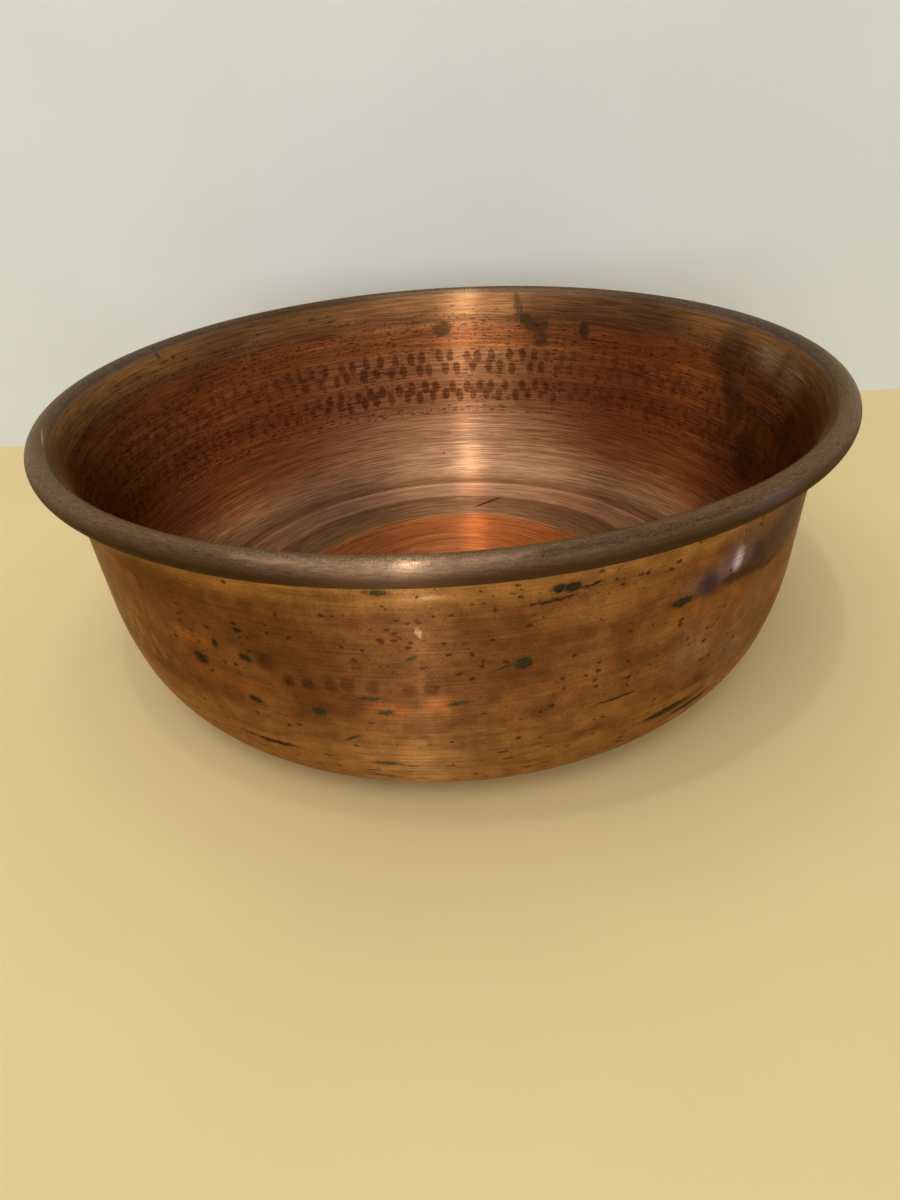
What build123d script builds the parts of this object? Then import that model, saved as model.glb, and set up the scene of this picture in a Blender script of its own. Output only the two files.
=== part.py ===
from build123d import *
import os
from math import cos, radians, sin, tan

# Spun copper bowl. Millimetres and degrees, +Z up, origin under the middle of the floor.

# Driving dimensions
RIM_RADIUS = 175.0       # over the outside of the rolled rim
HEIGHT = 118.5           # from the underside of the floor to the top of the rim
SHEET = 1.2              # thickness of the copper
WIRE = 7.3               # diameter of the steel wire in the rim
WIRE_PLAY = 0.05         # room between the wire and the sheet rolled round it

# Floor and the ledge round it, on the underside of the sheet
FLOOR_RADIUS = 88.0      # flat disc that the bowl stands on
STEP_ANGLE = 10.0        # gentle slope from the floor up to the ledge
STEP_BEND = 20.0         # bend at the foot and the head of that slope
STEP_SLOPE = 18.0        # straight part of the slope
LEDGE = 14.0             # flat top of the ledge
LEDGE_FALL = 22.0        # short slope from the ledge into the corner
LEDGE_BEND = 5.0         # bend over the ledge's outer edge
LEDGE_SLOPE = 2.8        # straight part of the fall
GROOVE_BEND = 4.0        # bend at the bottom of the fall

# Corner and wall, on the outside of the sheet: bend radius and the heading where each bend ends
CORNER_BENDS = [(17.0, 52.0), (51.0, 75.0), (130.0, 86.5)]

# Rim
FLARE_HEADING = 60.0     # heading of the flared neck where it meets the rolled rim
ROLL = 312.0             # how far the edge is rolled round the wire

# Worked out from the above
BORE = WIRE / 2 + WIRE_PLAY
ROLL_RADIUS = BORE + SHEET
WIRE_CIRCLE = RIM_RADIUS - ROLL_RADIUS
WIRE_HEIGHT = HEIGHT - ROLL_RADIUS


def straight(before, length):
    """A straight stretch that carries on from the stretch before it."""
    return PolarLine(before @ 1, length, direction=before % 1)


def bend(before, radius, turn):
    """A bend that carries on from the stretch before it: to the left if turn is positive."""
    return JernArc(before @ 1, before % 1, radius, turn)


def wall_and_flare(foot, roll):
    """Length of the straight wall and radius of the flare that lead from the wall's foot to the roll."""
    wall = radians(CORNER_BENDS[-1][1])
    flare = radians(FLARE_HEADING)
    out = WIRE_CIRCLE - roll * sin(flare) - foot.X
    up = WIRE_HEIGHT + roll * cos(flare) - foot.Y
    flare_out = sin(wall) - sin(flare)
    flare_up = cos(flare) - cos(wall)
    radius = (out * tan(wall) - up) / (flare_out * tan(wall) - flare_up)
    return (up - radius * flare_up) / sin(wall), radius


def sheet_line(depth):
    """Line of the sheet at a depth under its outside, from the middle of the floor to the rolled edge."""
    floor = Line((0, depth), (FLOOR_RADIUS, depth))
    step_foot = bend(floor, STEP_BEND - depth, STEP_ANGLE)
    step = straight(step_foot, STEP_SLOPE)
    step_head = bend(step, STEP_BEND + depth, -STEP_ANGLE)
    ledge = straight(step_head, LEDGE)
    ledge_edge = bend(ledge, LEDGE_BEND + depth, -LEDGE_FALL)
    fall = straight(ledge_edge, LEDGE_SLOPE)
    corner = bend(fall, GROOVE_BEND - depth, LEDGE_FALL)
    heading = 0.0
    for radius, end_heading in CORNER_BENDS:
        corner = bend(corner, radius - depth, end_heading - heading)
        heading = end_heading
    wall_length, flare_radius = wall_and_flare(corner @ 1, BORE + depth)
    wall = straight(corner, wall_length)
    flare = bend(wall, flare_radius, FLARE_HEADING - heading)
    roll = bend(flare, BORE + depth, -ROLL)
    return floor @ 0, roll @ 1


def bowl_shell():
    """One sheet, drawn in section and spun round the middle of the floor."""
    with BuildPart() as shell:
        with BuildSketch(Plane.XZ):
            with BuildLine():
                outside_middle, outside_edge = sheet_line(0)
                inside_middle, inside_edge = sheet_line(SHEET)
                Line(outside_middle, inside_middle)
                Line(outside_edge, inside_edge)
            make_face()
        revolve(axis=Axis.Z)
    return shell.part


def rim_wire():
    """Ring of round wire, held in the rolled rim."""
    return Pos(0, 0, WIRE_HEIGHT) * Torus(WIRE_CIRCLE, WIRE / 2)


os.makedirs("parts", exist_ok=True)
export_step(bowl_shell(), "parts/bowl_shell.step")
export_step(rim_wire(), "parts/rim_wire.step")
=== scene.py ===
import math
from typing import NamedTuple

import bpy
import numpy as np
from mathutils import Matrix, Vector
from mathutils.bvhtree import BVHTree


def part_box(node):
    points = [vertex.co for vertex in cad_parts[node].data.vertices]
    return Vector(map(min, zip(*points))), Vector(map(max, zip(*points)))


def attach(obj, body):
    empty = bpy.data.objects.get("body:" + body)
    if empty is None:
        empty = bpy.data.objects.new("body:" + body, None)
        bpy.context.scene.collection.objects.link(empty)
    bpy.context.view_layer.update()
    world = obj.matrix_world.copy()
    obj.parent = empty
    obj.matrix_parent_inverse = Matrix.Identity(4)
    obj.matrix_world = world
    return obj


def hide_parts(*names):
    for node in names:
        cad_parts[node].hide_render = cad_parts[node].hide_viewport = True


# Spun copper bowl with a wired rim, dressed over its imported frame. Metres and radians, +Z up.

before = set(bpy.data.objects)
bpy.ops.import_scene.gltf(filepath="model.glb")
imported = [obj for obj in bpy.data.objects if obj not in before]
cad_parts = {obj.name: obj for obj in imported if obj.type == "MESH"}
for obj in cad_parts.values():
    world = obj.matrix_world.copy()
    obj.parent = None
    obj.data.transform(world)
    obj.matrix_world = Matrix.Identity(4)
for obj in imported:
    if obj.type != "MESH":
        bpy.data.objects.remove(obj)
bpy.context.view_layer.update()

MM = 0.001
SEED = 12

# Section of the sheet: the rim's size comes from the frame, the rest is as in the part
_, bowl_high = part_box("bowl_shell")
wire_low, wire_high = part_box("rim_wire")
RIM_RADIUS = max(bowl_high.x, bowl_high.y)
HEIGHT = bowl_high.z
WIRE = wire_high.z - wire_low.z
WIRE_PLAY = 0.05 * MM
SHEET = 1.2 * MM
FLOOR_RADIUS = 88 * MM
STEP_ANGLE = math.radians(10)
STEP_BEND = 20 * MM
STEP_SLOPE = 18 * MM
LEDGE = 14 * MM
LEDGE_FALL = math.radians(22)
LEDGE_BEND = 5 * MM
LEDGE_SLOPE = 2.8 * MM
GROOVE_BEND = 4 * MM
CORNER_BENDS = [(17 * MM, math.radians(52)), (51 * MM, math.radians(75)), (130 * MM, math.radians(86.5))]
FLARE_HEADING = math.radians(60)
ROLL = math.radians(312)
BORE = WIRE / 2 + WIRE_PLAY
ROLL_RADIUS = BORE + SHEET
WIRE_CIRCLE = RIM_RADIUS - ROLL_RADIUS
WIRE_HEIGHT = HEIGHT - ROLL_RADIUS

# Mesh of the bowl: spacing of its rows along the section, and points round each row
ROW_STEP = {
    "floor": 22 * MM, "step": 4 * MM, "ledge": 3.5 * MM, "fall": 1.4 * MM, "corner": 2.3 * MM,
    "wall": 1.5 * MM, "flare": 2.3 * MM, "roll": 1.1 * MM, "bore": 1.1 * MM,
}
FINE = 720
COARSE = 360
FLOOR_COUNTS = [(25 * MM, 45), (50 * MM, 90), (75 * MM, 180)]
FINE_ZONE = (45 * MM, 87 * MM)
RIM_FADE = 3 * MM
SLOTS = {"inside": 0, "outside": 1, "rim": 2}

# Hammer marks: height of each row on the wall and its shift in marks, then the size of a mark
DENT_ROWS = [(79 * MM, 0.0), (72 * MM, 0.5), (60 * MM, 0.1), (54.5 * MM, 0.5)]
DENTS_IN_ROW = 112
DENT_WIDTH = 5.2 * MM
DENT_TALL = 9.4 * MM
DENT_DEPTH = 0.10 * MM
DENT_SHOWS_OUTSIDE = 0.4
NO_DENT = -1.0

# How the marks vary: their shift in marks, their lift, and their strength round the bowl
DENT_SHIFT = 0.18
DENT_LIFT = 0.9 * MM
DENT_WEAKEST = 0.55
DENT_MIDDLE = math.radians(91)
DENT_SPREAD = math.radians(25)
DENT_EDGE = 4
DENT_FAINT = 0.12

# Long shallow waves of the wall, as a hand-finished sheet has, and where they fade out
WAVES = 7
WAVE_TURNS = (3, 15)
WAVE_RATE = (25, 70)
WAVE_START = (0, 7)
WAVE_HEIGHT = 0.15 * MM
WAVE_FOOT = 12 * MM
WAVE_TOP = 96 * MM
WAVE_FADE = 12 * MM

# Camera, fitted to the rim in the photograph
PHOTO_SIZE = (900, 1200)
FOCAL_PIXELS = 832
SENSOR = 36.0
NEAR_CLIP = 0.01
CAMERA_BACK = 371.9 * MM
CAMERA_OVER_RIM = 112.5 * MM
CAMERA_YAW = math.radians(-0.25)
CAMERA_PITCH = math.radians(32.27)
CAMERA_ROLL = math.radians(-3.85)

# Stage and lamps. A lamp has its two ends, its width, its tone and its glow, which is what a white card
# close under it shows
FLOOR_SIZE = 6.0
FLOOR_TONE = (0.76, 0.59, 0.285)
BACKDROP_PLACE = 0.265
BACKDROP_TALL = 3.0
BACKDROP_TONE = (0.63, 0.65, 0.61)
STAGE_ROUGHNESS = 0.75
WORLD_TONE = (1.0, 0.985, 0.95)
WORLD_GLOW = 0.38
WHITE = (1.0, 1.0, 1.0)
COOL = (0.87, 1.0, 1.17)
LAMPS = {
    "strip": ((-0.474, -2.556, 0.78), (-0.163, -0.473, 1.45), 0.03, COOL, 15),
    "strip_foot": ((-0.490, -2.640, 0.04), (-0.474, -2.556, 0.78), 0.03, COOL, 60),
    "bulb": ((-0.188, -0.384, 1.58), (-0.164, -0.360, 1.60), 0.034, WHITE, 400),
    "halo": ((-1.42, -2.60, 0.50), (-0.05, -2.60, 0.50), 0.9, WHITE, 3.2),
    "glow": ((-1.98, -2.65, 0.60), (0.40, -2.65, 0.60), 1.1, WHITE, 0.3),
    "fill": ((-1.90, -2.70, 0.80), (2.80, -2.40, 0.80), 1.5, WHITE, 0.9),
    "side": ((2.60, -2.20, 0.60), (2.60, 0.10, 0.60), 1.1, WHITE, 0.5),
    "ceiling": ((-1.70, -0.60, 2.20), (0.50, -0.60, 2.20), 1.8, WHITE, 1.6),
}


class Pen:
    """Draws one face of the sheet in section: each stretch carries on from the one before it."""

    def __init__(self, depth):
        self.depth = depth
        self.place = np.array((0.0, depth))
        self.heading = 0.0
        self.arc = 0.0
        self.rows = []

    def add_row(self, place, heading, arc, stretch):
        self.rows.append({"radius": place[0], "height": place[1], "heading": heading,
                          "arc": arc, "stretch": stretch})

    def straight(self, stretch, length):
        along = np.array((math.cos(self.heading), math.sin(self.heading)))
        start, arc = self.place, self.arc
        count = max(1, round(length / ROW_STEP[stretch]))
        for part in np.linspace(0, 1, count + 1)[1:]:
            self.place = start + along * length * part
            self.arc = arc + length * part
            self.add_row(self.place, self.heading, self.arc, stretch)

    def bend(self, stretch, radius, turn):
        """A bend, to the left if turn is positive. The radius is that of the sheet's outside."""
        side = math.copysign(1, turn)
        radius = radius - side * self.depth
        start, arc = self.heading, self.arc
        centre = self.place + side * radius * np.array((-math.sin(start), math.cos(start)))
        count = max(1, round(radius * abs(turn) / ROW_STEP[stretch]))
        for part in np.linspace(0, 1, count + 1)[1:]:
            self.heading = start + turn * part
            self.arc = arc + radius * abs(turn) * part
            out = np.array((math.sin(self.heading), -math.cos(self.heading)))
            self.place = centre + side * radius * out
            self.add_row(self.place, self.heading, self.arc, stretch)


def wall_and_flare(foot):
    """Length of the straight wall and radius of the flare that lead from the wall's foot to the roll."""
    wall = CORNER_BENDS[-1][1]
    out = WIRE_CIRCLE - BORE * math.sin(FLARE_HEADING) - foot[0]
    up = WIRE_HEIGHT + BORE * math.cos(FLARE_HEADING) - foot[1]
    flare_out = math.sin(wall) - math.sin(FLARE_HEADING)
    flare_up = math.cos(FLARE_HEADING) - math.cos(wall)
    radius = (out * math.tan(wall) - up) / (flare_out * math.tan(wall) - flare_up)
    return (up - radius * flare_up) / math.sin(wall), radius


def sheet_rows(depth, roll_stretch, wall_length=None, flare_radius=None):
    """Rows of one face of the sheet, from the floor's middle to the rolled edge."""
    pen = Pen(depth)
    pen.straight("floor", FLOOR_RADIUS)
    pen.bend("step", STEP_BEND, STEP_ANGLE)
    pen.straight("step", STEP_SLOPE)
    pen.bend("step", STEP_BEND, -STEP_ANGLE)
    pen.straight("ledge", LEDGE)
    pen.bend("fall", LEDGE_BEND, -LEDGE_FALL)
    pen.straight("fall", LEDGE_SLOPE)
    pen.bend("fall", GROOVE_BEND, LEDGE_FALL)
    for radius, end_heading in CORNER_BENDS:
        pen.bend("corner", radius, end_heading - pen.heading)
    if wall_length is None:
        wall_length, flare_radius = wall_and_flare(pen.place)
    pen.straight("wall", wall_length)
    pen.bend("flare", flare_radius, FLARE_HEADING - pen.heading)
    pen.bend(roll_stretch, BORE, -ROLL)
    return pen.rows, wall_length, flare_radius


def count_round(row):
    """How many points a row has: many where the hammer marks are, few in the middle of the floor."""
    for radius, count in FLOOR_COUNTS:
        if row["radius"] < radius:
            return count
    hammered = FINE_ZONE[0] < row["height"] < FINE_ZONE[1] and row["stretch"] in ("corner", "wall")
    return FINE if hammered else COARSE


def make_dents(random):
    """Angle, height and strength of each hammer mark. They are strongest across the far side."""
    dents = []
    pitch = 2 * math.pi / DENTS_IN_ROW
    for height, shift in DENT_ROWS:
        for number in range(DENTS_IN_ROW):
            angle = (number + shift + random.uniform(-DENT_SHIFT, DENT_SHIFT)) * pitch
            off_middle = abs(math.remainder(angle - DENT_MIDDLE, 2 * math.pi)) / DENT_SPREAD
            share = DENT_FAINT + (1 - DENT_FAINT) * math.exp(-off_middle ** DENT_EDGE)
            strength = random.uniform(DENT_WEAKEST, 1.0) * share
            dents.append((angle, height + random.uniform(-DENT_LIFT, DENT_LIFT), strength))
    return np.array(dents)


def dent_field(dents, angles, radius, height):
    """How far into a hammer mark each point of a row is: 1 in its middle, 0 at its edge, less outside."""
    field = np.full(len(angles), NO_DENT)
    near = dents[np.abs(dents[:, 1] - height) < DENT_TALL]
    for angle, middle, strength in near:
        turn = np.angle(np.exp(1j * (angles - angle)))
        inside = 1 - (turn * radius / (DENT_WIDTH / 2)) ** 2 - ((height - middle) / (DENT_TALL / 2)) ** 2
        field = np.maximum(field, np.where(inside > 0, inside * strength, inside))
    return field


def make_waves(random):
    """Each wave's turns round the bowl, its rate up the wall and where both start."""
    return [(random.integers(*WAVE_TURNS), random.uniform(*WAVE_RATE),
             random.uniform(*WAVE_START), random.uniform(*WAVE_START)) for _ in range(WAVES)]


def wave_field(waves, angles, row):
    """How far the waves push each point of a row of the wall: not at all at its foot or at the flare."""
    room = min(row["height"] - WAVE_FOOT, WAVE_TOP - row["height"])
    share = float(np.clip(room / WAVE_FADE, 0, 1))
    total = np.zeros(len(angles))
    for turns, rate, phase, lift in waves:
        total += np.cos(turns * angles + phase) * math.cos(rate * row["arc"] + lift) / turns
    return total * WAVE_HEIGHT * share


def bridge(first, second):
    """Faces between two neighbouring rows of point numbers. One row may have twice the other's points."""
    if len(first) == len(second):
        return list(zip(first, second, np.roll(second, -1), np.roll(first, -1)))
    coarse, fine = (first, second) if len(first) < len(second) else (second, first)
    corner, corner_next = coarse, np.roll(coarse, -1)
    start, middle, end = fine[0::2], fine[1::2], np.roll(fine[0::2], -1)
    faces = list(zip(corner, start, middle))
    faces += zip(corner, middle, corner_next)
    faces += zip(corner_next, middle, end)
    return faces if coarse is first else [face[::-1] for face in faces]


def sheet_points(rows, rim_start):
    """Points of the sheet, the values that they carry, and the point numbers of each row."""
    random = np.random.default_rng(SEED)
    dents = make_dents(random)
    waves = make_waves(random)
    middle_values = {"arc": 0.0, "rim": 0.0, "dent": NO_DENT}
    points = [(0.0, 0.0, SHEET)]
    values = {name: [value] for name, value in middle_values.items()}
    numbers = []
    for row, _, depth_share in rows:
        count = count_round(row)
        angles = np.arange(count) * 2 * math.pi / count
        dent = np.full(count, NO_DENT)
        push = np.zeros(count)
        if row["stretch"] in ("corner", "wall"):
            dent = dent_field(dents, angles, row["radius"], row["height"])
            push = np.maximum(dent, 0) * DENT_DEPTH * depth_share + wave_field(waves, angles, row)
        radius = row["radius"] + push * math.sin(row["heading"])
        height = row["height"] - push * math.cos(row["heading"])
        numbers.append(np.arange(len(points), len(points) + count))
        points += zip(radius * np.cos(angles), radius * np.sin(angles), height)
        rim = np.clip(1 - (rim_start - row["arc"]) / RIM_FADE, 0, 1)
        values["arc"] += [row["arc"]] * count
        values["rim"] += [rim] * count
        values["dent"] += dent.tolist()
    points.append((0.0, 0.0, 0.0))
    for name, value in middle_values.items():
        values[name].append(value)
    return points, values, numbers


def sheet_faces(rows, numbers, last):
    """Faces of the sheet and their material slots, from the first point to the last."""
    faces = [(0, a, b) for a, b in zip(numbers[0], np.roll(numbers[0], -1))]
    slots = [SLOTS["inside"]] * len(faces)
    for first, second, (row, side, _) in zip(numbers, numbers[1:], rows[1:]):
        ring = bridge(first, second)
        faces += ring
        slots += [SLOTS["rim" if row["stretch"] in ("roll", "bore") else side]] * len(ring)
    middle = [(last, b, a) for a, b in zip(numbers[-1], np.roll(numbers[-1], -1))]
    faces += middle
    slots += [SLOTS["outside"]] * len(middle)
    return [tuple(int(number) for number in face) for face in faces], slots


def make_bowl():
    """The copper sheet as one closed mesh: up the inside, round the rim and back down the outside."""
    outside, wall_length, flare_radius = sheet_rows(0, "bore")
    inside, _, _ = sheet_rows(SHEET, "roll", wall_length, flare_radius)
    rim_start = next(row["arc"] for row in inside if row["stretch"] == "roll")
    rows = [(row, "inside", 1) for row in inside]
    rows += [(row, "outside", DENT_SHOWS_OUTSIDE) for row in outside[::-1]]
    points, values, numbers = sheet_points(rows, rim_start)
    faces, slots = sheet_faces(rows, numbers, len(points) - 1)

    mesh = bpy.data.meshes.new("bowl")
    mesh.from_pydata(points, [], faces)
    for name, carried in values.items():
        mesh.attributes.new(name, "FLOAT", "POINT").data.foreach_set("value", carried)
    mesh.polygons.foreach_set("material_index", slots)
    mesh.shade_smooth()
    bowl = bpy.data.objects.new("bowl", mesh)
    bpy.context.scene.collection.objects.link(bowl)
    return bowl


# Camera axes
camera_place = Vector((0, -CAMERA_BACK, HEIGHT + CAMERA_OVER_RIM))
forward = Vector((math.sin(CAMERA_YAW) * math.cos(CAMERA_PITCH),
                  math.cos(CAMERA_YAW) * math.cos(CAMERA_PITCH), -math.sin(CAMERA_PITCH)))
level = Vector((math.cos(CAMERA_YAW), -math.sin(CAMERA_YAW), 0))
upright = level.cross(forward)
right = level * math.cos(CAMERA_ROLL) + upright * math.sin(CAMERA_ROLL)
up = upright * math.cos(CAMERA_ROLL) - level * math.sin(CAMERA_ROLL)


def make_camera():
    data = bpy.data.cameras.new("camera")
    data.sensor_width = SENSOR
    data.lens = SENSOR * FOCAL_PIXELS / max(PHOTO_SIZE)
    data.clip_start = NEAR_CLIP
    camera = bpy.data.objects.new("camera", data)
    axes = Matrix((right, up, -forward)).transposed()
    camera.matrix_world = Matrix.Translation(camera_place) @ axes.to_4x4()
    bpy.context.scene.collection.objects.link(camera)
    bpy.context.scene.camera = camera


def color(red, green, blue):
    return (red, green, blue, 1.0)


# Tones of the outside, in linear light
EDGE_TONE = color(0.72, 0.62, 0.50)
BROWN = color(0.212, 0.086, 0.028)
AMBER = color(0.325, 0.140, 0.046)
# Gold of the copper; low down it is partly painted reflection of the floor
GOLD = color(0.44, 0.215, 0.066)
# Umber of brown blotches, halos and dull wipes, and of painted shadow under the rim
UMBER = color(0.150, 0.060, 0.018)
MAROON = color(0.118, 0.046, 0.016)
ORANGE = color(0.50, 0.165, 0.042)
# Painted sheen on the hammer facets of the outside
FACET_SHEEN_GOLD = color(0.52, 0.29, 0.125)
HAZE_TAN = color(0.35, 0.21, 0.14)
SOOT = color(0.062, 0.043, 0.015)
OLIVE = color(0.088, 0.073, 0.033)
# Dark brown of specks, scratches and a tarnish border, and of the painted shadow line under the rim
SPECK_AND_SHADOW_BROWN = color(0.075, 0.026, 0.012)
# Painted highlight: pale pink glints on the brushed streak down the front
GLINT_PINK = color(0.70, 0.44, 0.27)
PLUM = color(0.078, 0.049, 0.062)
# Mauve round the painted highlight: partly the purple tarnish, partly painted glow
MAUVE = color(0.28, 0.19, 0.26)
# Painted highlight: a bright lilac glint on the purple tarnish
HIGHLIGHT_LILAC = color(0.92, 0.80, 1.0)
SMOKE = color(0.190, 0.115, 0.088)

# Tones of the inside
# Rose of the low inside wall: paler than the wall above as painted reflection of the ceiling
ROSE = color(0.55, 0.285, 0.142)
RUSSET = color(0.42, 0.185, 0.078)
CHESTNUT = color(0.40, 0.145, 0.048)
# Deeper red of the inside's left and right: painted shade
DEEP_RED = color(0.46, 0.160, 0.047)
# Painted highlight: a saturated orange line at the foot of the neck
EMBER = color(0.52, 0.180, 0.046)
TAN = color(0.31, 0.140, 0.052)
# Painted light on the right of the flare
LIT_TAN = color(0.62, 0.36, 0.19)
# Painted shade of the corner at the wall's foot and of the step's slope
STEP_BROWN = color(0.33, 0.172, 0.083)
GROOVE_ROSE = color(0.60, 0.350, 0.205)
# Painted highlight on the ledge's outer edge
LEDGE_HIGHLIGHT = color(0.92, 0.60, 0.370)
LEDGE_PINK = color(0.65, 0.385, 0.228)
FLOOR_COPPER = color(0.95, 0.45, 0.190)
# Umber of dull wipes, and of painted shade on the flare
INNER_UMBER = color(0.16, 0.068, 0.027)
# Dark brown of soot, drips and specks, and of a painted shadow on the right wall
INNER_SOOT_AND_SHADOW = color(0.082, 0.047, 0.020)
# Dark of the hammer marks inside: partly their own tone, partly painted dark reflection in the dents
MARK_BROWN = color(0.110, 0.034, 0.010)
DASH_BROWN = color(0.100, 0.037, 0.016)
PALE = color(0.62, 0.52, 0.40)

# Tones of the rim, of which one is a factor that greys the rim's sides as painted reflection, and of the
# wire
RIM_BROWN = color(0.150, 0.087, 0.047)
RIM_PALE = color(0.262, 0.158, 0.089)
# Painted shade of the rim's underside; the rim's inner side is darkened with it too
RIM_UNDER = color(0.068, 0.034, 0.013)
RIM_LILAC = color(0.20, 0.155, 0.22)
GRAZING_SHEEN_GREY = color(0.94, 1.14, 1.8)
STEEL_DARK = color(0.30, 0.29, 0.28)
STEEL_PALE = color(0.50, 0.49, 0.47)


class Noise(NamedTuple):
    """A noise by the size of its lumps, its detail and how rough it is."""

    size: float
    detail: float
    roughness: float = 0.55


class Drawn(NamedTuple):
    """A noise drawn out round the bowl: length and width of its lumps, its detail, how rough it is."""

    long: float
    wide: float
    detail: float
    roughness: float = 0.55


class Change(NamedTuple):
    """A value that changes with a noise or a place: its low and high, and where it has them."""

    low: float
    high: float
    begin: float = 0.3
    full: float = 0.7


class Coat(NamedTuple):
    """A tone that comes in with a noise or a place: where it begins and is full, and its strength."""

    begin: float
    full: float
    strength: float
    tone: tuple


class Band(NamedTuple):
    """A tone between two heights, with soft ends."""

    low: float
    high: float
    fade: float
    strength: float
    tone: tuple


class Specks(NamedTuple):
    """Round dots: the size of a cell, and the smallest and the largest dot as parts of it."""

    cell: float
    small: float
    large: float


class Dashes(NamedTuple):
    """Dots drawn out round the bowl: length and width of a cell, and the dots as parts of it."""

    long: float
    wide: float
    small: float
    large: float


class Patch(NamedTuple):
    """A patch: its pixel in the photograph, half its width and height in millimetres, its tilt in degrees.
    """

    pixel: tuple
    half_width: float
    half_height: float
    tilt: float = 0


class Marks(NamedTuple):
    """Patches of one kind, stains or painted light or shade. They begin and are full at parts of the way
    from their middle to their edge.
    """

    begin: float
    full: float
    strength: float
    tone: tuple
    patches: dict
    ragged: bool = True


# Noises of the copper, of the wire and of the stage
LINES = Drawn(15 * MM, 0.5 * MM, 3, 0.6)
SCORES = Drawn(45 * MM, 0.8 * MM, 3)
BANDS = Drawn(250 * MM, 3.8 * MM, 3)
WIPE = Drawn(45 * MM, 12.5 * MM, 6, 0.65)
RIM_GRAIN = Drawn(4 * MM, 0.45 * MM, 4, 0.7)
CLOUDS = Noise(29 * MM, 7, 0.65)
LUMPS = Noise(6.5 * MM, 4)
GRAIN = Noise(0.8 * MM, 3)
WANDER = Noise(2.4 * MM, 5, 0.7)
STEEL_GRAIN = Noise(11 * MM, 4)
STAGE_CLOUD = Noise(170 * MM, 4)
NOISE_MIDDLE = (0.5, 0.5, 0.5)

# Grooves of the turning tool, the brushed highlight, the edge of a dot and the edges of a patch
GROOVE_WIDTH = 0.4 * MM
GROOVE_DETAIL = 2
GROOVE_DEPTH = 0.15 * MM
GROOVE_STRENGTH = 0.15
BRUSHED = 1.0
BRUSH_TURN = 0.25
DOT_CORE = 0.55
PATCH_DEPTH = 6 * MM
PATCH_REACH = 2.0
RAGGED = 3.0 * MM

# Looks of the outside
CLOUD_EDGE = (0.36, 0.64)
GOLD_UNEVEN = 40 * MM
# Gold comes in low down, partly painted reflection of the floor, and under the rim
GOLD_FOOT = (70 * MM, 46 * MM)
GOLD_NECK = (93 * MM, 99 * MM)
GOLD_STRENGTH = 0.9
# Painted shadow: a dark line round the outside just under the rolled rim
RIM_SHADOW_LINE = Coat(103 * MM, 107 * MM, 0.6, SPECK_AND_SHADOW_BROWN)
OUTSIDE_DULL = Coat(0.50, 0.72, 0.40, UMBER)
# Where on a hammer dent the painted sheen of the facets lies
FACET_EDGE = (-0.1, 0.10)
OUTSIDE_MOTTLE = {
    "lumps": Change(0.80, 1.13),
    "grain": Change(0.86, 1.10),
    "scores": Change(0.90, 1.07),
    "lines": Change(0.84, 1.12, 0.28, 0.72),
}
SPECKS_IN_CLOUDS = Change(0.10, 0.5, 0.48, 0.70)
SPECKS_FLAT = (1, 1, 1.5)
SPECKS = {"large": Specks(3.8 * MM, 0.16, 0.40), "small": Specks(1.7 * MM, 0.10, 0.26)}
LOW_DASHES = Dashes(7 * MM, 1.5 * MM, 0.14, 0.42)
LOW_DASH_SHARE = Change(0.0, 0.8, 36 * MM, 14 * MM)
SPECK_STRENGTH = 0.85
SPOT_CORE = (1.25, 0.75)
SPOT_GRAIN = (0.40, 0.65)
OUTSIDE_ROUGHNESS = Change(0.30, 0.36)
OUTSIDE_DULL_ROUGHNESS = 0.06
SPOT_ROUGHNESS = 0.25

# Looks of the rim
RIM_GRAIN_EDGE = (0.32, 0.68)
# The rim's left and right sides turn greyer: painted reflection
RIM_SIDES = (90 * MM, 165 * MM)
RIM_MOTTLE = {"clouds": Change(0.93, 1.06), "grain": Change(0.80, 1.14)}
RIM_SPECKS = Specks(3.2 * MM, 0.08, 0.20)
RIM_SPECK_SHARE = 0.12
RIM_SPECK_STRENGTH = 0.7
# Painted shade: the rim darker on its underside
RIM_UNDERSIDE_SHADE = Coat(WIRE_HEIGHT + 3.2 * MM, WIRE_HEIGHT - 1.0 * MM, 0.85, RIM_UNDER)
RIM_INWARD = Coat(WIRE_CIRCLE + 1 * MM, WIRE_CIRCLE - 3 * MM, 0.4, RIM_UNDER)
RIM_WORN = (WIRE_HEIGHT + 4.0 * MM, WIRE_HEIGHT + 1.5 * MM)
RIM_ROUGHNESS = Change(0.22, 0.32)
RIM_WORN_ROUGHNESS = 0.20

# Looks of the inside. The rings of the floor run from the corner inwards
LOW_WALL_UNEVEN = 16 * MM
# The low wall is rose below the russet wall: painted reflection of the ceiling
LOW_WALL = (44 * MM, 62 * MM)
NECK = Band(86 * MM, 98 * MM, 2 * MM, 1.0, CHESTNUT)
# Painted highlight: a bright line along the crease at the neck's foot
NECK_HIGHLIGHT_LINE = Band(84 * MM, 86.5 * MM, 1.5 * MM, 0.7, EMBER)
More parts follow.
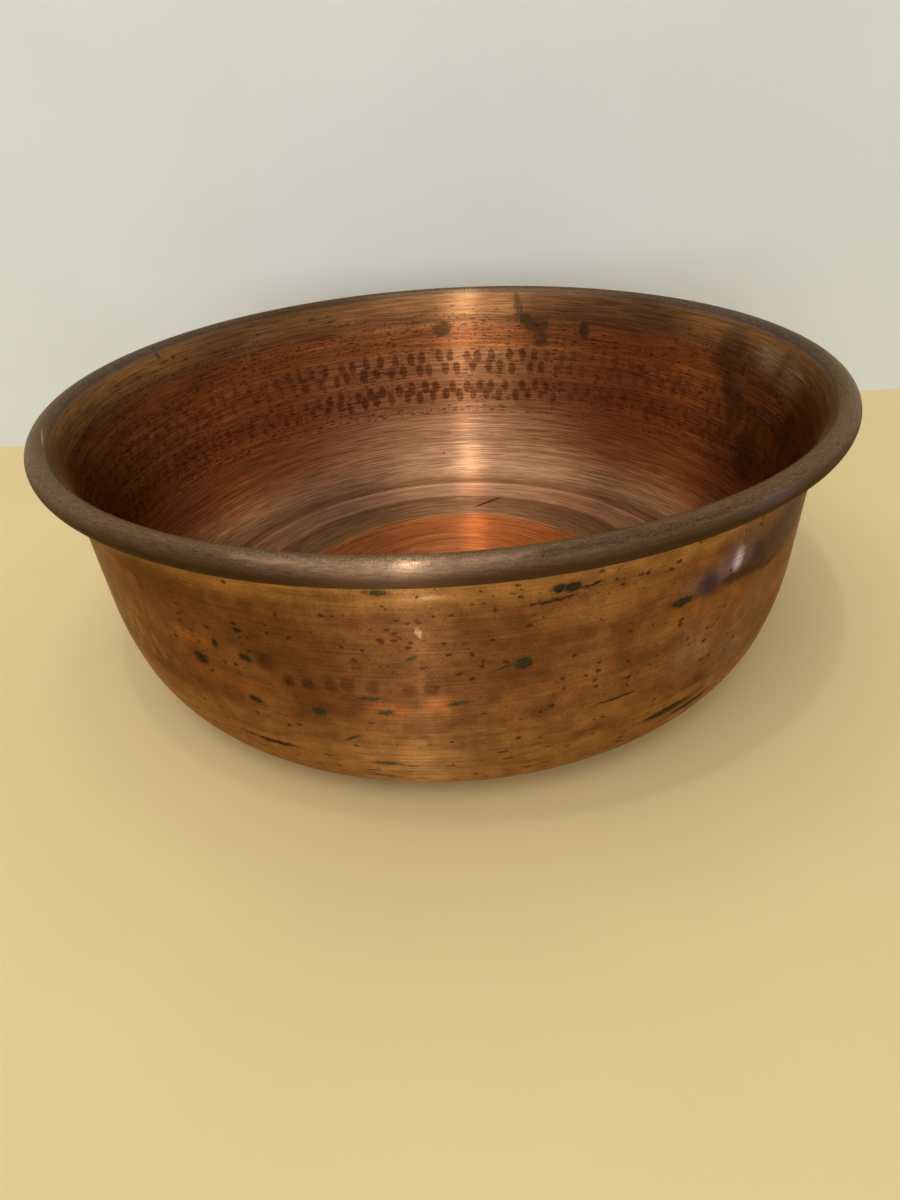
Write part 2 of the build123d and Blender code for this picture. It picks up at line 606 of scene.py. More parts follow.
# Painted shade: the inside deeper red towards its left and right
SIDES = (40 * MM, 110 * MM)
RED_SIDES = Coat(4 * MM, 28 * MM, 0.8, DEEP_RED)
FLARE = Coat(98 * MM, 102 * MM, 1.0, TAN)
FLOOR_RINGS = {
    # Painted shade in the corner at the wall's foot
    "corner": Coat(153 * MM, 137 * MM, 0.85, STEP_BROWN),
    "groove": Coat(136 * MM, 132 * MM, 0.8, GROOVE_ROSE),
    # Painted highlight: a bright line on the ledge's outer edge
    "ledge_edge": Coat(129.5 * MM, 128.5 * MM, 1.0, LEDGE_HIGHLIGHT),
    "ledge": Coat(127 * MM, 125.5 * MM, 1.0, LEDGE_PINK),
    # Painted shade on the slope of the step down to the floor
    "step": Coat(112 * MM, 108 * MM, 1.0, STEP_BROWN),
    "floor": Coat(95 * MM, 86 * MM, 1.0, FLOOR_COPPER),
}
INSIDE_DULL = Coat(0.50, 0.72, 0.22, INNER_UMBER)
INSIDE_MOTTLE = {
    "scores": Change(0.74, 1.18),
    "lines": Change(0.58, 1.34, 0.28, 0.72),
    "bands": Change(0.88, 1.08),
    "grain": Change(0.92, 1.06),
}
DENT_GRAIN = 0.5
DENT_LINES = Change(0.55, 1.0, 0.62, 0.40)
# The hammer marks darker: partly their own tone, partly painted dark reflection in the dents
DENT_DARK = Coat(0.10, 0.62, 0.92, MARK_BROWN)
DASH_SIDE = Change(0.5, 1.0, 60 * MM, -40 * MM)
DASH_ROW = (42.5 * MM, 47 * MM, 1 * MM)
DASH_WALL = (48 * MM, 106 * MM, 6 * MM)
DASH_WIPE = (0.36, 0.56)
DASH_JITTER = (0.5, 0.5, 0.9)
DASHES = {
    "long": Dashes(5.5 * MM, 1.45 * MM, 0.22, 0.46),
    "short": Dashes(2.6 * MM, 0.95 * MM, 0.22, 0.46),
}
DASH_STRENGTH = 0.85
PATCHY = Change(0.6, 1.0, 0.25, 0.6)
INSIDE_ROUGHNESS = Change(0.31, 0.36)
INSIDE_DULL_ROUGHNESS = 0.04
DRIP_ROUGHNESS = 0.06
FLOOR_POLISHED = (95 * MM, 85 * MM)
FLOOR_POLISH = 0.15

# Looks of the wire and of the stage
STEEL_ROUGHNESS = Change(0.35, 0.5)
STAGE_MOTTLE = Change(0.97, 1.03, 0.2, 0.8)

# Stains of the outside, and patches of painted light and shade
DARK_SPOTS = Marks(2.0, 0.9, 0.55, UMBER, {
    "under_rim": Patch((377, 593), 2.9, 1.0),
    "twin_left": Patch((560, 588), 2.3, 1.4),
    "twin_right": Patch((573, 587), 3.0, 1.9),
    "twin_tail": Patch((590, 585), 4.2, 0.45, 6),
    "smear": Patch((556, 600), 6.6, 0.55, 4),
    "by_purple": Patch((682, 602), 4.8, 1.6),
    "middle": Patch((524, 663), 2.9, 2.2),
    "middle_tail": Patch((505, 667), 3.6, 0.45, 22),
    "left_large": Patch((201, 657), 3.2, 2.2, -12),
    "left_right": Patch((246, 658), 2.3, 1.5, -12),
    "left_upper": Patch((237, 630), 1.9, 1.0),
    "left_thin": Patch((215, 643), 1.3, 1.6),
    "low_left": Patch((256, 699), 2.3, 1.3, -10),
    "low_round": Patch((319, 711), 2.4, 1.9),
    "low_wide": Patch((385, 713), 2.6, 1.1),
    "low_smear": Patch((369, 699), 4.2, 0.7),
    "bird": Patch((411, 659), 2.0, 0.9, 20),
    "foot_left": Patch((278, 742), 7.5, 1.0, 3),
    "foot_left_thin": Patch((258, 735), 6.5, 0.4),
    "foot_front": Patch((387, 763), 4.8, 0.8, 3),
    "foot_front_low": Patch((383, 775), 5.0, 0.7),
    "foot_right": Patch((668, 709), 11.0, 1.8, 4),
    "foot_right_wide": Patch((688, 703), 9.0, 1.6, 4),
    "right_line": Patch((616, 698), 7.5, 0.4, 4),
    "scribble": Patch((457, 704), 3.6, 0.6, 8),
    "dash_left": Patch((352, 738), 3.0, 0.5, 30),
})
BROWN_MARKS = Marks(1.3, 0.5, 0.9, MAROON, {
    "blotch_left": Patch((266, 662), 4.5, 4),
    "row_first": Patch((289, 680), 2.6, 3),
    "row_second": Patch((308, 684), 2.6, 3),
    "row_third": Patch((331, 685), 2.7, 3.2),
    "row_fourth": Patch((347, 685), 2.7, 3.2),
    "row_fifth": Patch((373, 688), 2.6, 3),
    "row_sixth": Patch((410, 690), 2.8, 3.2),
    "row_seventh": Patch((431, 690), 2.8, 3.2),
})
# Brown blotches; under_rim_left and under_rim_front are painted shadow under the rolled rim
BROWN_BLOTCHES_AND_SHADOW = Marks(1.5, 0.1, 0.55, UMBER, {
    "under_spot": Patch((534, 677), 7, 4),
    "blotch_right": Patch((540, 708), 7, 5),
    "smear_right": Patch((590, 730), 10, 3, 10),
    "patch_low": Patch((618, 726), 7, 7, 40),
    "patch_right": Patch((706, 666), 14, 7),
    "under_rim_left": Patch((150, 572), 26, 6),
    "left": Patch((275, 645), 28, 16),
    "under_rim_front": Patch((345, 598), 30, 2.2),
    "front": Patch((478, 636), 20, 14),
    "neck": Patch((410, 613), 20, 7),
    "front_left": Patch((390, 650), 22, 20),
    "front_right": Patch((565, 630), 16, 6),
    "low": Patch((350, 706), 26, 7),
})
# Gold patches; those at the foot are partly painted reflection of the floor
GOLD_PATCHES = Marks(1.5, 0.1, 0.6, GOLD, {
    "foot_left": Patch((222, 706), 24, 6),
    "foot_front": Patch((430, 756), 24, 4),
    "foot_middle": Patch((520, 742), 16, 4),
    "under_rim_right": Patch((600, 606), 22, 8),
    "right": Patch((665, 628), 14, 8),
})
RIGHT_HAZE = Marks(1.5, 0.1, 0.6, HAZE_TAN, {
    "edge": Patch((736, 640), 18, 18),
    "body": Patch((692, 652), 12, 12),
    "high": Patch((757, 598), 14, 14),
})
ORANGE_PATCHES = Marks(1.5, 0.1, 0.5, ORANGE, {
    "left_upper": Patch((192, 638), 9, 4),
    "left": Patch((208, 671), 10, 4),
    "left_low": Patch((250, 690), 9, 4),
    "by_spot": Patch((392, 712), 9, 4),
    "by_streak": Patch((440, 705), 6, 4),
    "right": Patch((676, 616), 2.4, 4),
    "right_tall": Patch((697, 608), 2.0, 5),
})
# Painted sheen: paler gold over the hammer facets on the left of the outside
FACET_SHEEN = Marks(1.5, 0.3, 0.35, FACET_SHEEN_GOLD, {"left": Patch((140, 636), 34, 24)})
SPECK_ZONES = Marks(1.5, 0.3, 0.85, SPECK_AND_SHADOW_BROWN, {
    "front": Patch((405, 632), 24, 20),
    "rim_right": Patch((560, 597), 44, 6),
    "left": Patch((205, 640), 20, 14),
})
PURPLE_SHADE = Marks(1.5, 0.2, 0.7, SMOKE, {
    "high": Patch((779, 517), 24, 9),
    "neck": Patch((752, 536), 16, 9),
    "low": Patch((703, 582), 9, 6),
})
PURPLE_BAND = Marks(1.4, 0.4, 0.95, PLUM, {
    "low": Patch((712, 583), 7, 5),
    "middle": Patch((735, 569), 11, 6),
    "wide": Patch((762, 551), 18, 8),
    "high": Patch((785, 530), 22, 9),
    "top": Patch((793, 513), 22, 8),
})
# Mauve round the painted highlight: partly the purple tarnish, partly painted glow
PURPLE_TARNISH_GLOW = Marks(1.3, 0.1, 0.75, MAUVE, {"glow": Patch((736, 561), 11, 7)})
# Painted highlight on the purple tarnish
PURPLE_PAINTED_HIGHLIGHT = Marks(1.4, 0.1, 0.85, HIGHLIGHT_LILAC, {"glint": Patch((739, 558), 3.0, 4.8)})
PURPLE_BORDER = Marks(1.4, 0.5, 0.8, SPECK_AND_SHADOW_BROWN, {
    "first": Patch((730, 578), 5, 1.5),
    "second": Patch((744, 572), 6, 1.8),
    "third": Patch((757, 566), 7, 1.8),
    "fourth": Patch((769, 560), 8, 1.6),
})
# Painted highlights: pale pink glints on the brushed streak down the front and under the rim
STREAK_GLINTS = Marks(1.3, 0.4, 0.4, GLINT_PINK, {
    "streak": Patch((418, 633), 0.9, 2.4, 15),
    "arch": Patch((432, 597), 4.0, 0.8),
})

# Stains of the rim
RIM_LILACS = Marks(1.5, 0.4, 0.35, RIM_LILAC, {"right": Patch((781, 497), 16, 1.6)})
RIM_SCRATCHES = Marks(1.2, 0.6, 0.6, PALE, {"left": Patch((42, 437), 10, 0.35, 4)}, ragged=False)

# Stains of the inside, and patches of painted light and shade
# Painted light: lighter tan on the right of the flare
LIT_PATCHES = Marks(1.5, 0.2, 0.8, LIT_TAN, {
    "right_flare": Patch((790, 385), 14, 9),
    "right_flare_high": Patch((770, 362), 12, 7),
})
# Darker patches; those on the flare are painted shade
INNER_SHADES = Marks(1.3, 0.2, 0.55, INNER_UMBER, {
    "left_wall": Patch((203, 377), 24, 7),
    "left_neck": Patch((320, 335), 18, 6),
    "left_flare": Patch((222, 345), 26, 8),
    "pool_flare": Patch((540, 300), 16, 12),
    "right_flare": Patch((585, 305), 36, 11),
    "right_flare_far": Patch((655, 315), 36, 11),
})
# Soft drips; the last one is painted shadow on the wall at the right, below the flare
SOFT_DRIPS_AND_SHADOW = Marks(1.3, 0.55, 0.6, INNER_SOOT_AND_SHADOW, {
    "right_top": Patch((734, 342), 11, 8),
    "right_wide": Patch((726, 360), 13, 8),
    "right_neck": Patch((729, 382), 6, 10),
    "right_middle": Patch((735, 408), 8, 12),
    "right_low": Patch((745, 455), 10, 16),
    # Painted shadow on the wall at the right, below the flare
    "right_edge_shadow": Patch((788, 430), 6, 9),
})
DRIPS = Marks(1.2, 0.6, 0.85, INNER_SOOT_AND_SHADOW, {
    "oval": Patch((441, 330), 6.2, 4.4),
    "oval_top": Patch((446, 325), 4.4, 2.2, -10),
    "pool": Patch((536, 325), 9.4, 5.4),
    "pool_left": Patch((526, 319), 4.0, 4.6),
    "pool_low": Patch((540, 338), 5.4, 5.6),
    "small": Patch((584, 330), 3.8, 5.6),
})
THIN_MARKS = Marks(1.3, 0.5, 0.75, INNER_SOOT_AND_SHADOW, {
    "edge_start": Patch((514, 290), 2.6, 1.8),
    "edge_high": Patch((516, 297), 1.2, 8),
    "edge_middle": Patch((518, 305), 1.2, 8),
    "edge_low": Patch((521, 313), 1.4, 7),
    "dash_first": Patch((312, 320), 3.2, 0.8),
    "dash_second": Patch((331, 322), 3.8, 0.7, 10),
    "ring_left": Patch((157, 355), 1.4, 2.4),
    "ring_low": Patch((164, 362), 4.6, 0.7),
    "ring_right": Patch((173, 357), 1.4, 1.4),
})
PITS = Marks(1.1, 0.7, 0.9, INNER_SOOT_AND_SHADOW, {
    "corner": Patch((444, 453), 1.3, 0.7, 20),
    "pool": Patch((535, 325), 2.6, 1.6),
})
DARK_SCRATCHES = Marks(1.2, 0.6, 0.95, SPECK_AND_SHADOW_BROWN, {"step": Patch((488, 502), 11, 1.0, 38)}, ragged=False)
PALE_SCRATCHES = Marks(1.2, 0.6, 0.6, PALE, {
    "step": Patch((459, 498), 3.4, 0.35),
    "fleck": Patch((394, 509), 0.9, 0.5),
}, ragged=False)


def seen_at(surface, pixel):
    """Place on the bowl, and its normal, that the photograph shows at a pixel."""
    across = pixel[0] - PHOTO_SIZE[0] / 2
    above = PHOTO_SIZE[1] / 2 - pixel[1]
    ray = forward * FOCAL_PIXELS + right * across + up * above
    spot, normal, _, _ = surface.ray_cast(camera_place, ray)
    return spot, normal


def patch_axes(spot, normal, tilt):
    """Turn of a patch that lies on the bowl: its width runs round the bowl, as the photograph shows it."""
    outward = Vector((spot.x, spot.y, 0)).normalized()
    along = Vector((0, 0, 1)).cross(outward)
    if along.dot(right) < 0:
        along = -along
    along = (along - normal * along.dot(normal)).normalized()
    along = Matrix.Rotation(math.radians(tilt), 3, normal) @ along
    return Matrix((along, normal.cross(along), normal)).transposed().to_euler()


class Tree:
    """Short words for writing a material's nodes: sockets or values go in, a socket comes out."""

    def __init__(self, name):
        self.material = bpy.data.materials.new(name)
        self.material.use_nodes = True
        self.nodes = self.material.node_tree.nodes
        self.links = self.material.node_tree.links
        self.shader = self.nodes["Principled BSDF"]
        self.place = self.add("ShaderNodeTexCoord", {}, "Object")

    def feed(self, socket, value):
        if isinstance(value, bpy.types.NodeSocket):
            self.links.new(value, socket)
        elif value is not None:
            socket.default_value = value

    def add(self, kind, inputs, output=0, **settings):
        node = self.nodes.new(kind)
        for name, value in settings.items():
            setattr(node, name, value)
        for key, value in inputs.items():
            self.feed(node.inputs[key], value)
        return node.outputs[output]

    def math(self, operation, a, b=None):
        return self.add("ShaderNodeMath", {0: a, 1: b}, operation=operation)

    def plus(self, a, b):
        return self.math("ADD", a, b)

    def times(self, a, b):
        return self.math("MULTIPLY", a, b)

    def larger(self, a, b):
        return self.math("MAXIMUM", a, b)

    def vector(self, operation, a, b=None):
        return self.add("ShaderNodeVectorMath", {0: a, 1: b}, operation=operation)

    def length(self, a):
        return self.add("ShaderNodeVectorMath", {0: a}, "Value", operation="LENGTH")

    def part(self, vector, axis):
        return self.add("ShaderNodeSeparateXYZ", {0: vector}, axis)

    def join(self, x, y, z):
        return self.add("ShaderNodeCombineXYZ", {0: x, 1: y, 2: z})

    def noise(self, size, detail, roughness, place=None, output=0):
        """Noise with lumps of about the given size."""
        inputs = {"Vector": place or self.place, "Scale": 1 / size, "Detail": detail, "Roughness": roughness}
        return self.add("ShaderNodeTexNoise", inputs, output)

    def ramp(self, value, start, end, low=0.0, high=1.0):
        """Goes smoothly from low to high as the value goes from start to end."""
        inputs = {0: value, 1: start, 2: end, 3: low, 4: high}
        return self.add("ShaderNodeMapRange", inputs, interpolation_type="SMOOTHSTEP")

    def change(self, value, change):
        return self.ramp(value, change.begin, change.full, change.low, change.high)

    def between(self, value, low, high, fade):
        """1 between two values and 0 outside them, with soft ends."""
        over_low = self.ramp(value, low - fade, low + fade)
        return self.times(over_low, self.ramp(value, high + fade, high - fade))

    def blend(self, share, a, b, blend_type="MIX"):
        inputs = {0: share, 6: a, 7: b}
        return self.add("ShaderNodeMix", inputs, 2, data_type="RGBA", blend_type=blend_type)

    def tint(self, tone, share, strength, other):
        """Takes a tone towards another one, as far as the strength where the share is 1."""
        return self.blend(self.times(share, strength), tone, other)

    def shade(self, tone, factor):
        """Makes a tone darker or lighter by a factor."""
        return self.blend(1.0, tone, self.join(factor, factor, factor), "MULTIPLY")


class Copper(Tree):
    """A face of the copper sheet: its coordinates, its noises, its stains and its painted light and shade.
    """

    def __init__(self, name, surface):
        super().__init__(name)
        self.surface = surface
        self.arc = self.attribute("arc")
        self.rim = self.attribute("rim")
        self.dent = self.attribute("dent")
        self.across = self.part(self.place, "X")
        self.height = self.part(self.place, "Z")
        self.radius = self.length(self.vector("MULTIPLY", self.place, (1, 1, 0)))
        self.lines = self.drawn_out(*LINES)
        self.grooves = self.turned(GROOVE_WIDTH, GROOVE_DETAIL)
        self.scores = self.drawn_out(*SCORES)
        self.bands = self.drawn_out(*BANDS)
        self.wipe = self.drawn_out(*WIPE)
        self.clouds = self.noise(*CLOUDS)
        self.lumps = self.noise(*LUMPS)
        self.grain = self.noise(*GRAIN)
        self.wander = self.vector("SUBTRACT", self.noise(*WANDER, output="Color"), NOISE_MIDDLE)
        strayed = self.vector("MULTIPLY", self.wander, (RAGGED, RAGGED, RAGGED))
        self.ragged = self.vector("ADD", self.place, strayed)

    def attribute(self, name):
        return self.add("ShaderNodeAttribute", {}, "Fac", attribute_name=name)

    def spun(self, long, wide):
        """Place for a pattern drawn out round the bowl, with cells of the given length and width."""
        flat = self.vector("MULTIPLY", self.place, (1 / long, 1 / long, 0))
        return self.vector("ADD", flat, self.join(0, 0, self.times(self.arc, 1 / wide)))

    def turned(self, wide, detail):
        """Noise that runs right round the bowl without a change, as a turning tool leaves it."""
        inputs = {"W": self.times(self.arc, 1 / wide), "Scale": 1.0, "Detail": detail}
        return self.add("ShaderNodeTexNoise", inputs, noise_dimensions="1D")

    def drawn_out(self, long, wide, detail, roughness):
        return self.noise(1.0, detail, roughness, self.spun(long, wide))

    def dots(self, place, scale, share, small, large):
        """Round dots from small to large, as parts of their cell, in a share of a pattern's cells."""
        cell = self.nodes.new("ShaderNodeTexVoronoi")
        self.feed(cell.inputs["Vector"], place)
        cell.inputs["Scale"].default_value = scale
        edge = self.ramp(self.part(cell.outputs["Color"], "Y"), 0, 1, small, large)
        dot = self.ramp(cell.outputs["Distance"], edge, self.times(edge, DOT_CORE))
        return self.times(dot, self.math("LESS_THAN", self.part(cell.outputs["Color"], "X"), share))

    def specks(self, place, share, specks):
        return self.dots(place, 1 / specks.cell, share, specks.small, specks.large)

    def dashes(self, share, dashes, jitter=None):
        """Dots drawn out round the bowl, moved by a jitter where there is one."""
        place = self.spun(dashes.long, dashes.wide)
        if jitter is not None:
            place = self.vector("ADD", place, jitter)
        return self.dots(place, 1.0, share, dashes.small, dashes.large)

    def nearness(self, marks):
        """1 in the middle of any of some patches, falling to 0 at its reach."""
        place = self.ragged if marks.ragged else self.place
        nearest = None
        for pixel, half_width, half_height, tilt in marks.patches.values():
            spot, normal = seen_at(self.surface, pixel)
            turn = patch_axes(spot, normal, tilt)
            reach = Vector((half_width * MM, half_height * MM, PATCH_DEPTH)) * PATCH_REACH
            inputs = {"Vector": place, "Location": spot, "Rotation": turn, "Scale": reach}
            inside = self.add("ShaderNodeMapping", inputs, vector_type="TEXTURE")
            near = self.add("ShaderNodeTexGradient", {"Vector": inside}, "Fac", gradient_type="SPHERICAL")
            nearest = near if nearest is None else self.larger(nearest, near)
        return nearest

    def within(self, nearness, begin, full):
        """Goes from 0 to 1 between two parts of the way from a patch's middle to its edge."""
        return self.ramp(nearness, 1 - begin / PATCH_REACH, 1 - full / PATCH_REACH)

    def patch_share(self, marks):
        return self.within(self.nearness(marks), marks.begin, marks.full)

    def lay(self, tone, share, look):
        """Lays the tone of a coat, a band or some marks over another one, where the share is 1."""
        return self.tint(tone, share, look.strength, look.tone)

    def coat(self, tone, value, coat):
        return self.lay(tone, self.ramp(value, coat.begin, coat.full), coat)

    def band(self, tone, value, band):
        return self.lay(tone, self.between(value, band.low, band.high, band.fade), band)

    def mark(self, tone, *kinds):
        for marks in kinds:
            tone = self.lay(tone, self.patch_share(marks), marks)
        return tone

    def mottle(self, tone, mottles):
        """Makes a tone darker and lighter with some of the copper's noises."""
        for name, change in mottles.items():
            tone = self.shade(tone, self.change(getattr(self, name), change))
        return tone

    def finish(self, tone, roughness):
        """Brushed metal: its highlights are drawn out across the spun lines."""
        inputs = self.shader.inputs
        self.feed(inputs["Base Color"], tone)
        self.feed(inputs["Roughness"], roughness)
        inputs["Metallic"].default_value = 1.0
        inputs["Specular Tint"].default_value = EDGE_TONE
        inputs["Anisotropic"].default_value = BRUSHED
        inputs["Anisotropic Rotation"].default_value = BRUSH_TURN
        self.feed(inputs["Tangent"], self.add("ShaderNodeTangent", {}, direction_type="RADIAL", axis="Z"))
        bump = {"Strength": GROOVE_STRENGTH, "Distance": GROOVE_DEPTH, "Height": self.grooves}
        self.feed(inputs["Normal"], self.add("ShaderNodeBump", bump))
        return self.material


def copper_outside(surface):
    """The outside: brown and amber clouds, gold low down and under the rim, stains and specks, and painted
    light and shade.
    """
    tree = Copper("copper_outside", surface)
    tone = tree.blend(tree.ramp(tree.clouds, *CLOUD_EDGE), BROWN, AMBER)
    # Gold low down, partly painted reflection of the floor, and gold under the rim
    uneven = tree.plus(tree.height, tree.times(tree.wipe, GOLD_UNEVEN))
    gold = tree.larger(tree.ramp(uneven, *GOLD_FOOT), tree.ramp(tree.height, *GOLD_NECK))
    tone = tree.tint(tone, gold, GOLD_STRENGTH, GOLD)
    # Painted shadow line under the rim
    tone = tree.coat(tone, tree.height, RIM_SHADOW_LINE)
    dull = tree.ramp(tree.wipe, OUTSIDE_DULL.begin, OUTSIDE_DULL.full)
    tone = tree.lay(tone, dull, OUTSIDE_DULL)
    # Brown blotches and painted shadow under the rim, gold patches, a tan haze and orange patches
    tone = tree.mark(tone, BROWN_BLOTCHES_AND_SHADOW, GOLD_PATCHES, RIGHT_HAZE, ORANGE_PATCHES)
    # Painted sheen on the hammer facets at the left
    facets = tree.times(tree.ramp(tree.dent, *FACET_EDGE), tree.patch_share(FACET_SHEEN))
    tone = tree.lay(tone, facets, FACET_SHEEN)
    # Maroon hammer marks and purple tarnish, with a painted glow and a painted highlight on the tarnish
    tone = tree.mark(tone, BROWN_MARKS, PURPLE_SHADE, PURPLE_BAND, PURPLE_TARNISH_GLOW, PURPLE_PAINTED_HIGHLIGHT, PURPLE_BORDER)
    tone = tree.mottle(tone, OUTSIDE_MOTTLE)

    in_zones = tree.times(tree.patch_share(SPECK_ZONES), SPECK_ZONES.strength)
    busy = tree.plus(in_zones, tree.change(tree.clouds, SPECKS_IN_CLOUDS))
    flat = tree.vector("MULTIPLY", tree.ragged, SPECKS_FLAT)
    specks = tree.larger(tree.specks(flat, busy, SPECKS["large"]), tree.specks(flat, busy, SPECKS["small"]))
    low_dashes = tree.dashes(tree.change(tree.height, LOW_DASH_SHARE), LOW_DASHES)
    tone = tree.tint(tone, tree.larger(specks, low_dashes), SPECK_STRENGTH, SPECK_AND_SHADOW_BROWN)
    # Painted glints on the front's streak
    tone = tree.mark(tone, STREAK_GLINTS)
    near_spots = tree.nearness(DARK_SPOTS)
    tone = tree.lay(tone, tree.within(near_spots, DARK_SPOTS.begin, DARK_SPOTS.full), DARK_SPOTS)
    spot = tree.within(near_spots, *SPOT_CORE)
    tone = tree.blend(spot, tone, tree.blend(tree.ramp(tree.grain, *SPOT_GRAIN), SOOT, OLIVE))

    roughness = tree.change(tree.scores, OUTSIDE_ROUGHNESS)
    roughness = tree.plus(roughness, tree.times(dull, OUTSIDE_DULL_ROUGHNESS))
    roughness = tree.plus(roughness, tree.times(spot, SPOT_ROUGHNESS))
    return tree.finish(tone, roughness)


def rim_tone(tree):
    """Dull brown of the rolled rim, greyer at its sides as painted reflection, grained along it and specked.
    """
    grain = tree.drawn_out(*RIM_GRAIN)
    tone = tree.blend(tree.ramp(grain, *RIM_GRAIN_EDGE), RIM_BROWN, RIM_PALE)
    # Greyer towards the left and right sides: painted reflection
    sides = tree.ramp(tree.math("ABSOLUTE", tree.across), *RIM_SIDES)
    tone = tree.blend(sides, tone, GRAZING_SHEEN_GREY, "MULTIPLY")
    tone = tree.mottle(tone, RIM_MOTTLE)
    specks = tree.specks(tree.place, RIM_SPECK_SHARE, RIM_SPECKS)
    return tree.tint(tone, specks, RIM_SPECK_STRENGTH, INNER_SOOT_AND_SHADOW)


def copper_rim(surface):
    """The rolled rim: smoother on top, dark underneath as painted shade, and a little darker inwards."""
    tree = Copper("copper_rim", surface)
    # Painted shade under the rim, and a little darker inwards
    tone = tree.coat(rim_tone(tree), tree.height, RIM_UNDERSIDE_SHADE)
    tone = tree.coat(tone, tree.radius, RIM_INWARD)
    tone = tree.mark(tone, RIM_LILACS, RIM_SCRATCHES)
    worn = tree.times(tree.ramp(tree.height, *RIM_WORN), RIM_WORN_ROUGHNESS)
    return tree.finish(tone, tree.plus(tree.change(tree.grain, RIM_ROUGHNESS), worn))


def copper_inside(surface):
    """The inside: rose low wall, paler as painted reflection, russet hammered wall, tan flare and orange
    floor, with painted shade and highlights.
    """
    tree = Copper("copper_inside", surface)
    # Rose low wall, paler as painted reflection of the ceiling, under the russet hammered wall
    uneven = tree.plus(tree.height, tree.times(tree.bands, LOW_WALL_UNEVEN))
    tone = tree.blend(tree.ramp(uneven, *LOW_WALL), ROSE, RUSSET)
    tone = tree.band(tone, tree.height, NECK)
    # Painted shade: deeper red towards the left and right of the inside
    sides = tree.ramp(tree.math("ABSOLUTE", tree.across), *SIDES)
    red = tree.times(sides, tree.ramp(tree.height, RED_SIDES.begin, RED_SIDES.full))
    tone = tree.lay(tone, red, RED_SIDES)
    # Painted highlight line at the neck's crease
    tone = tree.band(tone, tree.height, NECK_HIGHLIGHT_LINE)
    tone = tree.coat(tone, tree.height, FLARE)
    # Rings of the floor: painted shade in the corner and on the step, a painted highlight on the ledge's
    # edge
    for ring in FLOOR_RINGS.values():
        tone = tree.coat(tone, tree.radius, ring)
    # Painted light on the right of the flare
    tone = tree.mark(tone, LIT_PATCHES)
    dull = tree.ramp(tree.wipe, INSIDE_DULL.begin, INSIDE_DULL.full)
    tone = tree.lay(tone, dull, INSIDE_DULL)
    # Darker patches, painted shade on the flare
    tone = tree.mark(tone, INNER_SHADES)
    tone = tree.mottle(tone, INSIDE_MOTTLE)

    # Hammer marks darkened: partly their own tone, partly painted dark reflection in the dents
    wobble = tree.plus(tree.times(tree.grain, DENT_GRAIN), tree.part(tree.wander, "X"))
    dent = tree.ramp(tree.plus(tree.dent, wobble), DENT_DARK.begin, DENT_DARK.full)
    dent = tree.times(dent, tree.change(tree.lines, DENT_LINES))
    tone = tree.lay(tone, dent, DENT_DARK)
    strewn = tree.times(tree.between(tree.height, *DASH_WALL), tree.ramp(tree.wipe, *DASH_WIPE))
    strewn = tree.larger(tree.between(tree.height, *DASH_ROW), strewn)
    busy = tree.times(tree.change(tree.across, DASH_SIDE), strewn)
    jitter = tree.vector("MULTIPLY", tree.wander, DASH_JITTER)
    long_dashes = tree.dashes(busy, DASHES["long"], jitter)
    dashes = tree.larger(long_dashes, tree.dashes(busy, DASHES["short"], jitter))
    tone = tree.tint(tone, dashes, DASH_STRENGTH, DASH_BROWN)

    patchy = tree.change(tree.lumps, PATCHY)
    # Soft drips and painted shadow at the right
    tone = tree.lay(tone, tree.times(tree.patch_share(SOFT_DRIPS_AND_SHADOW), patchy), SOFT_DRIPS_AND_SHADOW)
    drip = tree.times(tree.patch_share(DRIPS), patchy)
    tone = tree.lay(tone, drip, DRIPS)
    tone = tree.mark(tone, THIN_MARKS, PITS, DARK_SCRATCHES)
    tone = tree.blend(tree.rim, tone, rim_tone(tree))
    tone = tree.mark(tone, PALE_SCRATCHES)

    roughness = tree.change(tree.scores, INSIDE_ROUGHNESS)
    roughness = tree.plus(roughness, tree.times(dull, INSIDE_DULL_ROUGHNESS))
    roughness = tree.plus(roughness, tree.times(drip, DRIP_ROUGHNESS))
    polish = tree.times(tree.ramp(tree.radius, *FLOOR_POLISHED), FLOOR_POLISH)
    return tree.finish(tone, tree.math("SUBTRACT", roughness, polish))


def steel():
    """Drawn steel wire inside the rim."""
    tree = Tree("steel_wire")
    grain = tree.noise(*STEEL_GRAIN)
    tree.feed(tree.shader.inputs["Base Color"], tree.blend(grain, STEEL_DARK, STEEL_PALE))
    tree.feed(tree.shader.inputs["Roughness"], tree.change(grain, STEEL_ROUGHNESS))
    tree.shader.inputs["Metallic"].default_value = 1.0
    return tree.material


def matte(name, tone, one_way=False):
    """Plain matte stage, with a faint unevenness. A one-way face can be seen through from behind."""
    tree = Tree(name)
    unevenness = tree.change(tree.noise(*STAGE_CLOUD), STAGE_MOTTLE)
    tree.feed(tree.shader.inputs["Base Color"], tree.shade(color(*tone), unevenness))
    tree.shader.inputs["Roughness"].default_value = STAGE_ROUGHNESS
    if one_way:
        behind = tree.add("ShaderNodeNewGeometry", {}, "Backfacing")
        faces = {0: behind, 1: tree.shader.outputs[0], 2: tree.add("ShaderNodeBsdfTransparent", {})}
        tree.feed(tree.nodes["Material Output"].inputs["Surface"], tree.add("ShaderNodeMixShader", faces))
    return tree.material


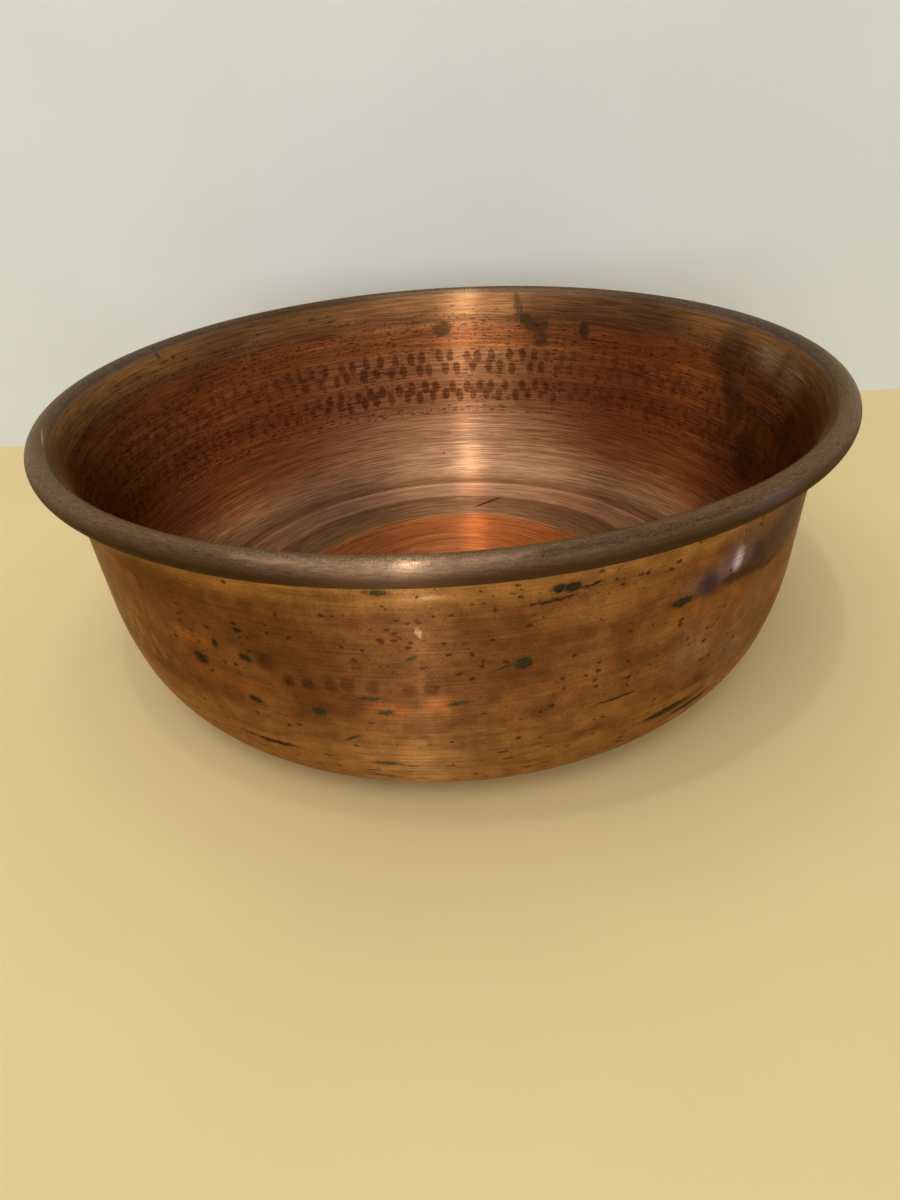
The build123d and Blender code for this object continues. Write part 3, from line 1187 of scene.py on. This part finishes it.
def make_plane(name, corners, tone, one_way=False):
    mesh = bpy.data.meshes.new(name)
    mesh.from_pydata(corners, [], [(0, 1, 2, 3)])
    mesh.materials.append(matte(name, tone, one_way))
    plane = bpy.data.objects.new(name, mesh)
    bpy.context.scene.collection.objects.link(plane)


def make_stage():
    half = FLOOR_SIZE / 2
    back = BACKDROP_PLACE
    make_plane("floor", [(-half, -half, 0), (half, -half, 0), (half, half, 0), (-half, half, 0)], FLOOR_TONE)
    make_plane("backdrop", [(-half, back, 0), (half, back, 0), (half, back, BACKDROP_TALL),
                            (-half, back, BACKDROP_TALL)], BACKDROP_TONE, one_way=True)


def make_lamp(name, start, end, width, tone, glow):
    """A flat lamp from start to end, which faces the bowl."""
    start, end = Vector(start), Vector(end)
    middle = (start + end) / 2
    along = (end - start).normalized()
    away = middle - Vector((0, 0, HEIGHT / 2))
    away = (away - along * away.dot(along)).normalized()
    data = bpy.data.lights.new(name, "AREA")
    data.shape = "RECTANGLE"
    data.color = tone
    data.size = width
    data.size_y = (end - start).length
    data.energy = glow * math.pi * data.size * data.size_y
    lamp = bpy.data.objects.new(name, data)
    axes = Matrix((along.cross(away), along, away)).transposed()
    lamp.matrix_world = Matrix.Translation(middle) @ axes.to_4x4()
    bpy.context.scene.collection.objects.link(lamp)


def make_world():
    world = bpy.data.worlds.new("world")
    world.use_nodes = True
    background = world.node_tree.nodes["Background"].inputs
    background["Color"].default_value = color(*WORLD_TONE)
    background["Strength"].default_value = WORLD_GLOW
    bpy.context.scene.world = world


make_camera()
bowl = make_bowl()
surface = BVHTree.FromObject(bowl, bpy.context.evaluated_depsgraph_get())
bowl.data.materials.append(copper_inside(surface))
bowl.data.materials.append(copper_outside(surface))
bowl.data.materials.append(copper_rim(surface))
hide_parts("bowl_shell")
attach(bowl, "root")
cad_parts["rim_wire"].data.materials.clear()
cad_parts["rim_wire"].data.materials.append(steel())
make_stage()
for name, lamp in LAMPS.items():
    make_lamp(name, *lamp)
make_world()
bpy.context.scene.view_settings.view_transform = "Standard"
